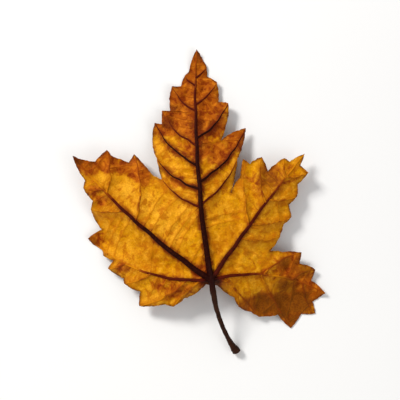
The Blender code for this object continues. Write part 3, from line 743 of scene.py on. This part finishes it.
def stalk_object(veins, finish):
    """The stalk: a ridged tube with a swollen foot, hollowed at its end by a scar.

    Over the blade its underside stays within the blade's thickness, so that only the ribbed side
    shows it.
    """
    rings = stalk_path()
    middles, radii = rings[:, :3], rings[:, 3]
    ahead = np.gradient(middles, axis=0)
    ahead /= np.linalg.norm(ahead, axis=1)[:, None]
    end_radius, end_way = radii[-1], ahead[-1]
    hollow = np.array([middles[-1] + end_way * out for _, out in SCAR])
    middles = np.vstack([middles, hollow])
    radii = np.concatenate([radii, [share * end_radius for share, _ in SCAR]])
    ahead = np.vstack([ahead, np.tile(end_way, (len(SCAR), 1))])
    across = np.cross(ahead, (0, 0, 1))
    across /= np.linalg.norm(across, axis=1)[:, None]
    up = np.cross(across, ahead)
    turn = 2 * math.pi * np.arange(STALK_SIDES) / STALK_SIDES
    run = np.concatenate([[0], np.cumsum(np.linalg.norm(np.diff(middles, axis=0), axis=1))])
    length, angle = np.meshgrid(run, turn, indexing="ij")
    skin = [length, STALK_LUMP_SIZE * np.cos(angle), STALK_LUMP_SIZE * np.sin(angle)]
    skin = np.stack(skin, axis=-1).reshape(-1, 3)
    uneven = sum(size * lumps(skin, along, seed) for size, along, seed in STALK_LUMPS)
    ridges = STALK_RIDGES["height"] * np.cos(STALK_RIDGES["count"] * angle + STALK_RIDGES["turn"])
    ridges *= length < run[-len(SCAR) - 1] - FOOT_LENGTH
    radius = radii[:, None] * (1 + uneven.reshape(length.shape) + ridges)
    spoke = across[:, None] * np.cos(angle)[..., None] + up[:, None] * np.sin(angle)[..., None]
    corners = (middles[:, None] + spoke * radius[..., None]).reshape(-1, 3)
    over = inside(outline(COARSE_STEP), corners[:, :2])
    corners[over, 2] = np.maximum(corners[over, 2], Blade(corners[over, :2], veins).height)
    corners[:, 2] = np.maximum(corners[:, 2], 0.0)
    count = len(middles)
    faces = []
    for i in range(count - 1):
        near, far = i * STALK_SIDES, (i + 1) * STALK_SIDES
        for k in range(STALK_SIDES):
            after = (k + 1) % STALK_SIDES
            faces.append((near + k, near + after, far + after, far + k))
    faces.append(tuple(range(STALK_SIDES))[::-1])
    faces.append(tuple((count - 1) * STALK_SIDES + k for k in range(STALK_SIDES)))
    mesh = bpy.data.meshes.new("leaf_stalk")
    mesh.from_pydata(place(corners).tolist(), [], faces)
    store(mesh, "scar", np.repeat(np.arange(count) >= count - len(SCAR), STALK_SIDES))
    store(mesh, "along", np.repeat(run / run[-1], STALK_SIDES))
    mesh.shade_smooth()
    mesh.set_sharp_from_angle(angle=SHARP_STALK)
    return object_of("leaf_stalk", mesh, [finish])


def lumps(points, length, seed, waves=30):
    """As crinkle, in three dimensions."""
    draw = np.random.default_rng(seed)
    way = draw.normal(size=(3, waves))
    way /= np.linalg.norm(way, axis=0)
    number = 2 * math.pi / (length * draw.uniform(0.7, 1.5, waves))
    start = draw.uniform(0, 2 * math.pi, waves)
    return np.sin(points @ (way * number) + start).sum(1) * math.sqrt(2 / waves) / 2


def colour(red, green, blue):
    """A colour that is given as it looks on a screen, 0 to 255, as the shaders' linear value."""
    shares = [value / 255 for value in (red, green, blue)]
    return (*(s / 12.92 if s <= 0.04045 else ((s + 0.055) / 1.055) ** 2.4 for s in shares), 1.0)


def blend(tree, share, under, over):
    """Lays the colour over on the colour under, as far as share says."""
    return node(tree, "ShaderNodeMix", {0: share, 6: under, 7: over}, data_type="RGBA").outputs[2]


def calculate(tree, operation, *values):
    return node(tree, "ShaderNodeMath", dict(enumerate(values)), operation=operation).outputs[0]


def between(tree, value, low, high, at_low=0.0, at_high=1.0):
    """value, spread smoothly from at_low to at_high while it goes from low to high."""
    inputs = {"Value": value, "From Min": low, "From Max": high, "To Min": at_low, "To Max": at_high}
    return node(tree, "ShaderNodeMapRange", inputs, interpolation_type="SMOOTHSTEP").outputs[0]


def noise(tree, place_in, size, detail=3.0, roughness=0.55, distortion=0.0):
    """Noise whose patches are about size millimetres across."""
    inputs = {"Vector": place_in, "Scale": 1 / (size * MM), "Detail": detail}
    inputs |= {"Roughness": roughness, "Distortion": distortion}
    return node(tree, "ShaderNodeTexNoise", inputs).outputs["Fac"]


def attribute(tree, name):
    return node(tree, "ShaderNodeAttribute", attribute_name=name).outputs["Fac"]


def shader_group(name, value, outputs):
    """An empty group that is given a Vector and a named value, and gives values."""
    tree = bpy.data.node_groups.new(name, "ShaderNodeTree")
    tree.interface.new_socket("Vector", in_out="INPUT", socket_type="NodeSocketVector")
    tree.interface.new_socket(value, in_out="INPUT", socket_type="NodeSocketFloat")
    for label in outputs:
        tree.interface.new_socket(label, in_out="OUTPUT", socket_type="NodeSocketFloat")
    return tree, tree.nodes.new("NodeGroupInput").outputs, tree.nodes.new("NodeGroupOutput").inputs


def use(tree, group, inputs):
    return node(tree, "ShaderNodeGroup", inputs, node_tree=group).outputs


def mottle_group():
    """Clouds, fine grain and small dark specks of a drying leaf."""
    tree, given, gives = shader_group("mottle", "Speckle", ("Clouds", "Grain", "Specks"))
    at = given["Vector"]
    clouds = between(tree, noise(tree, at, 9.0, 4.0, 0.6, 0.4), 0.36, 0.64)
    grain = noise(tree, at, 0.8, 4.0, 0.65)
    cells = node(tree, "ShaderNodeTexVoronoi", {"Vector": at, "Scale": 1 / (1.5 * MM)})
    small = between(tree, cells.outputs["Distance"], 0.16, 0.06)
    some = between(tree, noise(tree, at, 5.0, 2.0), 0.56, 0.66)
    specks = calculate(tree, "MULTIPLY", calculate(tree, "MULTIPLY", small, some), given["Speckle"])
    for label, value in (("Clouds", clouds), ("Grain", grain), ("Specks", specks)):
        tree.links.new(value, gives[label])
    return tree


def fine_net_group():
    """The finest veins, which part the blade into small cells."""
    tree, given, gives = shader_group("fine net", "Cells", ("Lines",))
    inputs = {"Vector": given["Vector"], "Scale": 1 / (1.6 * MM), "Detail": 1.0}
    bent = node(tree, "ShaderNodeTexNoise", inputs).outputs["Color"]
    centred = node(tree, "ShaderNodeVectorMath", {0: bent, 1: (0.5, 0.5, 0.5)}, operation="SUBTRACT")
    moved = {0: centred.outputs[0], "Scale": 0.7 * MM}
    moved = node(tree, "ShaderNodeVectorMath", moved, operation="SCALE").outputs[0]
    at = node(tree, "ShaderNodeVectorMath", {0: given["Vector"], 1: moved}, operation="ADD").outputs[0]
    inputs = {"Vector": at, "Scale": given["Cells"]}
    edges = node(tree, "ShaderNodeTexVoronoi", inputs, feature="DISTANCE_TO_EDGE").outputs["Distance"]
    tree.links.new(between(tree, edges, 0.13, 0.02), gives["Lines"])
    return tree


# The colours of each side of the blade, as they look on a screen, from 0 to 255. The bright tone
# is also a painted highlight in the gold patches, and the brown and rust tones are also painted
# shade over the right lobes.
RIBBED_TONES = {
    "gold": (220, 150, 3), "ochre": (202, 128, 2), "bright": (245, 176, 42),
    "orange": (182, 102, 4), "rust": (166, 76, 10), "rust_light": (210, 120, 22),
    "rust_dark": (122, 36, 4), "scorched": (84, 16, 2), "brown": (106, 54, 8),
    "halo": (108, 32, 6), "junction": (42, 8, 5), "net": (176, 98, 6),
    "edge": (96, 42, 8),
}
SMOOTH_TONES = {
    "gold": (210, 128, 10), "ochre": (188, 104, 8), "bright": (232, 154, 34),
    "orange": (166, 82, 8), "rust": (146, 62, 10), "rust_light": (186, 96, 24),
    "rust_dark": (112, 40, 8), "scorched": (86, 26, 6), "brown": (104, 56, 18),
    "halo": (206, 138, 40), "junction": (178, 104, 30), "net": (178, 106, 18),
    "edge": (84, 34, 8),
}


def finish(name):
    """A new material, with its tree, its shader's inputs and the object coordinates."""
    made = bpy.data.materials.new(name)
    made.use_nodes = True
    tree = made.node_tree
    at = node(tree, "ShaderNodeTexCoord").outputs["Object"]
    return made, tree, tree.nodes["Principled BSDF"].inputs, at


def raise_surface(tree, shader, height, strength, depth):
    inputs = {"Strength": strength, "Distance": depth * MM, "Height": height}
    tree.links.new(node(tree, "ShaderNodeBump", inputs).outputs[0], shader["Normal"])


def layered(tree, ground, layers):
    """Lays each (share, screen colour) over what is there before it."""
    paint = colour(*ground)
    for share, over in layers:
        paint = blend(tree, share, paint, colour(*over))
    return paint


def patchy(tree, name, uneven, by):
    """The mesh's values of that name, made uneven by up to half of by."""
    middle = calculate(tree, "SUBTRACT", attribute(tree, name), by / 2)
    return calculate(tree, "MULTIPLY_ADD", uneven, by, middle)


def shine(shader, level, tint):
    shader["Specular IOR Level"].default_value = level
    shader["Specular Tint"].default_value = (*tint, 1.0)


def blade_finish(name, tones, mottle, fine_net, roughness, relief):
    """One side of the blade: gold and ochre clouds, turned rust in patches, darker along the veins,
    with a painted highlight in the gold patches and painted shade in the brown ones.
    """
    made, tree, shader, at = finish(name)
    spots = use(tree, mottle, {"Vector": at, "Speckle": 0.8})
    net = use(tree, fine_net, {"Vector": at, "Cells": 1 / (1.15 * MM)})
    broad = noise(tree, at, 16.0, 3.0, 0.5)
    uneven = noise(tree, at, 4.2, 4.0, 0.62, 0.6)
    blotches = noise(tree, at, 3.4, 2.0, 0.5, 0.5)
    flecks = noise(tree, at, 1.9, 3.0, 0.6, 0.4)
    # Over the right basal lobe and the right lobe, the rust and brown patches are partly painted shade.
    rust = patchy(tree, "rust", uneven, 1.3)
    brown = patchy(tree, "brown", uneven, 0.9)

    def times(one, other):
        return calculate(tree, "MULTIPLY", one, other)

    def spread(value, *limits):
        return between(tree, value, *limits)

    # The gold patches are the leaf's own gold, and along the left lobe they are also a painted
    # highlight where light catches its folds.
    gold = times(attribute(tree, "gold"), spread(uneven, 0.36, 0.62, 0.35, 1.0))
    turned = spread(rust, 0.2, 0.55)
    halo = times(attribute(tree, "halo"), spread(uneven, 0.36, 0.62, 0.6, 1.3))
    layers = [
        (spots["Clouds"], "ochre"),
        (spread(broad, 0.45, 0.68, 0.0, 0.4), "orange"),
        (gold, "bright"),
        (spread(attribute(tree, "free"), 0.0, 0.6, 0.5, 0.0), "orange"),
        (spread(blotches, 0.46, 0.36, 0.0, 0.45), "bright"),
        (spread(blotches, 0.52, 0.64, 0.0, 0.80), "orange"),
        (spread(flecks, 0.47, 0.34, 0.0, 0.25), "bright"),
        (spread(flecks, 0.53, 0.66, 0.0, 0.35), "orange"),
        (times(turned, 0.92), "rust"),
        (times(turned, spread(blotches, 0.47, 0.38, 0.0, 0.80)), "rust_light"),
        (times(turned, spread(blotches, 0.52, 0.62, 0.0, 0.85)), "rust_dark"),
        (spread(rust, 1.0, 1.5, 0.0, 0.9), "scorched"),
        (spread(brown, 0.25, 1.1, 0.0, 0.9), "brown"),
        (times(net["Lines"], 0.28), "net"),
        (times(attribute(tree, "net"), 0.3), "net"),
        (spread(halo, 0.08, 0.8, 0.0, 0.9), "halo"),
        (spread(halo, 0.75, 1.35, 0.0, 0.95), "junction"),
        (times(attribute(tree, "margin"), spread(uneven, 0.38, 0.6, 0.3, 1.0)), "edge"),
        (spots["Specks"], "scorched"),
        (spread(spots["Grain"], 0.35, 0.75, 0.0, 0.14), "scorched"),
    ]
    layers = [(share, tones[tone]) for share, tone in layers]
    tree.links.new(layered(tree, tones["gold"], layers), shader["Base Color"])
    rough = spread(spots["Grain"], 0.3, 0.7, roughness - 0.08, roughness + 0.1)
    tree.links.new(rough, shader["Roughness"])
    shine(shader, 0.16, (1.0, 0.62, 0.2))
    height = calculate(tree, "MULTIPLY_ADD", net["Lines"], relief, times(spots["Grain"], 0.5))
    raise_surface(tree, shader, height, 0.5, 0.12)
    return made


def rib_finish(mottle):
    """The veins: maroon, nearly black, by the junction and reddish brown towards their ends."""
    made, tree, shader, at = finish("vein maroon to brown")
    spots = use(tree, mottle, {"Vector": at, "Speckle": 0.3})
    uneven = noise(tree, at, 3.0, 3.0, 0.6)
    dark = patchy(tree, "dark", uneven, 0.5)
    rust = patchy(tree, "rust", uneven, 0.6)
    layers = [
        # Over the right basal lobe and the right lobe, the rust and brown patches darken the ribs too,
        # partly as painted shade.
        (between(tree, rust, 0.2, 0.6), (158, 72, 8)),
        (between(tree, rust, 0.9, 1.3), (96, 32, 4)),
        (between(tree, attribute(tree, "brown"), 0.25, 1.0), (104, 56, 14)),
        (between(tree, dark, 0.10, 0.32), (134, 58, 10)),
        (between(tree, dark, 0.30, 0.55), (78, 18, 8)),
        (between(tree, dark, 0.55, 0.95), (34, 6, 6)),
        (between(tree, spots["Grain"], 0.5, 0.75, 0.0, 0.3), (110, 46, 14)),
    ]
    tree.links.new(layered(tree, (204, 128, 8), layers), shader["Base Color"])
    tree.links.new(between(tree, spots["Grain"], 0.3, 0.7, 0.48, 0.7), shader["Roughness"])
    shine(shader, 0.07, (1.0, 0.6, 0.4))
    raise_surface(tree, shader, noise(tree, at, 0.35, 2.0, 0.6), 0.35, 0.1)
    return made


def stalk_finish(mottle):
    """The stalk: brown-black skin with paler corky specks, and a tan scar at its foot."""
    made, tree, shader, at = finish("stalk brown black")
    spots = use(tree, mottle, {"Vector": at, "Speckle": 1.0})
    cork = node(tree, "ShaderNodeTexVoronoi", {"Vector": at, "Scale": 1 / (1.4 * MM)})
    pale = between(tree, cork.outputs["Distance"], 0.2, 0.12, 0.0, 0.45)
    layers = [
        (spots["Clouds"], (54, 28, 16)),
        (between(tree, spots["Grain"], 0.55, 0.75, 0.0, 0.6), (82, 50, 28)),
        (pale, (112, 76, 44)),
        (between(tree, attribute(tree, "along"), 0.42, 0.22), (36, 7, 6)),
        (attribute(tree, "scar"), (150, 112, 74)),
    ]
    tree.links.new(layered(tree, (34, 16, 10), layers), shader["Base Color"])
    tree.links.new(between(tree, spots["Grain"], 0.3, 0.7, 0.45, 0.7), shader["Roughness"])
    shine(shader, 0.1, (1.0, 0.75, 0.6))
    raise_surface(tree, shader, calculate(tree, "ADD", spots["Grain"], pale), 0.5, 0.15)
    return made


# The studio's lengths are in metres, and the lens and the sensor are in millimetres.
FRAME_HEIGHT = 0.190  # what the picture takes in at the leaf
CAMERA_ELEVATION = math.radians(87)
CAMERA_LENS = 100.0
SENSOR = 36.0

KEY_LIGHT = {"place_at": (-0.62, 0.55, 0.75), "size": 0.30, "power": 10.5, "tint": (1.0, 0.98, 0.95)}
FILL_LIGHT = {"place_at": (0.7, -0.5, 0.8), "size": 0.8, "power": 3.0, "tint": (1.0, 1.0, 1.0)}
SURROUND_LIGHT = 0.45
FLOOR = {"reach": 3.0, "drop": 0.0002, "roughness": 0.9}
FLOOR_TONES = ((0.88, 0.88, 0.88, 1), (0.92, 0.92, 0.915, 1))


def camera():
    """Looks down on the leaf as the photograph does, with the middle lobe's tip upwards."""
    low, high = (Vector(corner) for corner in cad_box)
    middle = (low + high) / 2
    data = bpy.data.cameras.new("camera")
    data.lens = CAMERA_LENS
    data.sensor_width = SENSOR
    data.clip_start = 0.01
    made = bpy.data.objects.new("camera", data)
    back = Vector((0, -math.cos(CAMERA_ELEVATION), math.sin(CAMERA_ELEVATION)))
    made.location = middle + back * (FRAME_HEIGHT * CAMERA_LENS / SENSOR)
    made.rotation_euler = (-back).to_track_quat("-Z", "Y").to_euler()
    bpy.context.scene.collection.objects.link(made)
    bpy.context.scene.camera = made


def soft_light(name, place_at, size, power, tint):
    data = bpy.data.lights.new(name, "AREA")
    data.size = size
    data.energy = power
    data.color = tint
    made = bpy.data.objects.new(name, data)
    made.location = place_at
    made.rotation_euler = (-Vector(place_at)).to_track_quat("-Z", "Y").to_euler()
    bpy.context.scene.collection.objects.link(made)


def studio():
    """A plain pale floor and soft light, the strongest from the upper left."""
    mesh = bpy.data.meshes.new("floor")
    reach = FLOOR["reach"]
    corners = [(-reach, -reach, 0), (reach, -reach, 0), (reach, reach, 0), (-reach, reach, 0)]
    mesh.from_pydata(corners, [], [(0, 1, 2, 3)])
    pale, tree, shader, at = finish("pale floor")
    shade = between(tree, noise(tree, at, 400.0, 1.0), 0.3, 0.7)
    tree.links.new(blend(tree, shade, *FLOOR_TONES), shader["Base Color"])
    shader["Roughness"].default_value = FLOOR["roughness"]
    floor = object_of("floor", mesh, [pale])
    floor.location.z = -FLOOR["drop"]
    soft_light("key light", **KEY_LIGHT)
    soft_light("fill light", **FILL_LIGHT)
    world = bpy.data.worlds.new("studio")
    world.use_nodes = True
    background = world.node_tree.nodes["Background"].inputs
    background["Color"].default_value = (1, 1, 1, 1)
    background["Strength"].default_value = SURROUND_LIGHT
    bpy.context.scene.world = world
    bpy.context.scene.view_settings.view_transform = "Standard"


def main():
    studio()
    camera()
    mottle, fine_net = mottle_group(), fine_net_group()
    ribbed_side = blade_finish("ribbed side gold and rust", RIBBED_TONES, mottle, fine_net, 0.6, 0.8)
    smooth_side = blade_finish("smooth side orange and rust", SMOOTH_TONES, mottle, fine_net, 0.5, -0.6)
    veins = all_veins()
    blade = blade_object(veins, ribbed_side, smooth_side)
    ribs = grown("leaf_ribs", rib_lines(veins), rib_tree(), Finish=rib_finish(mottle), **RIB_SECTION)
    stalk = stalk_object(veins, stalk_finish(mottle))
    for piece in (blade, ribs, stalk):
        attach(piece, "root")
        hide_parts("maple_leaf")


main()
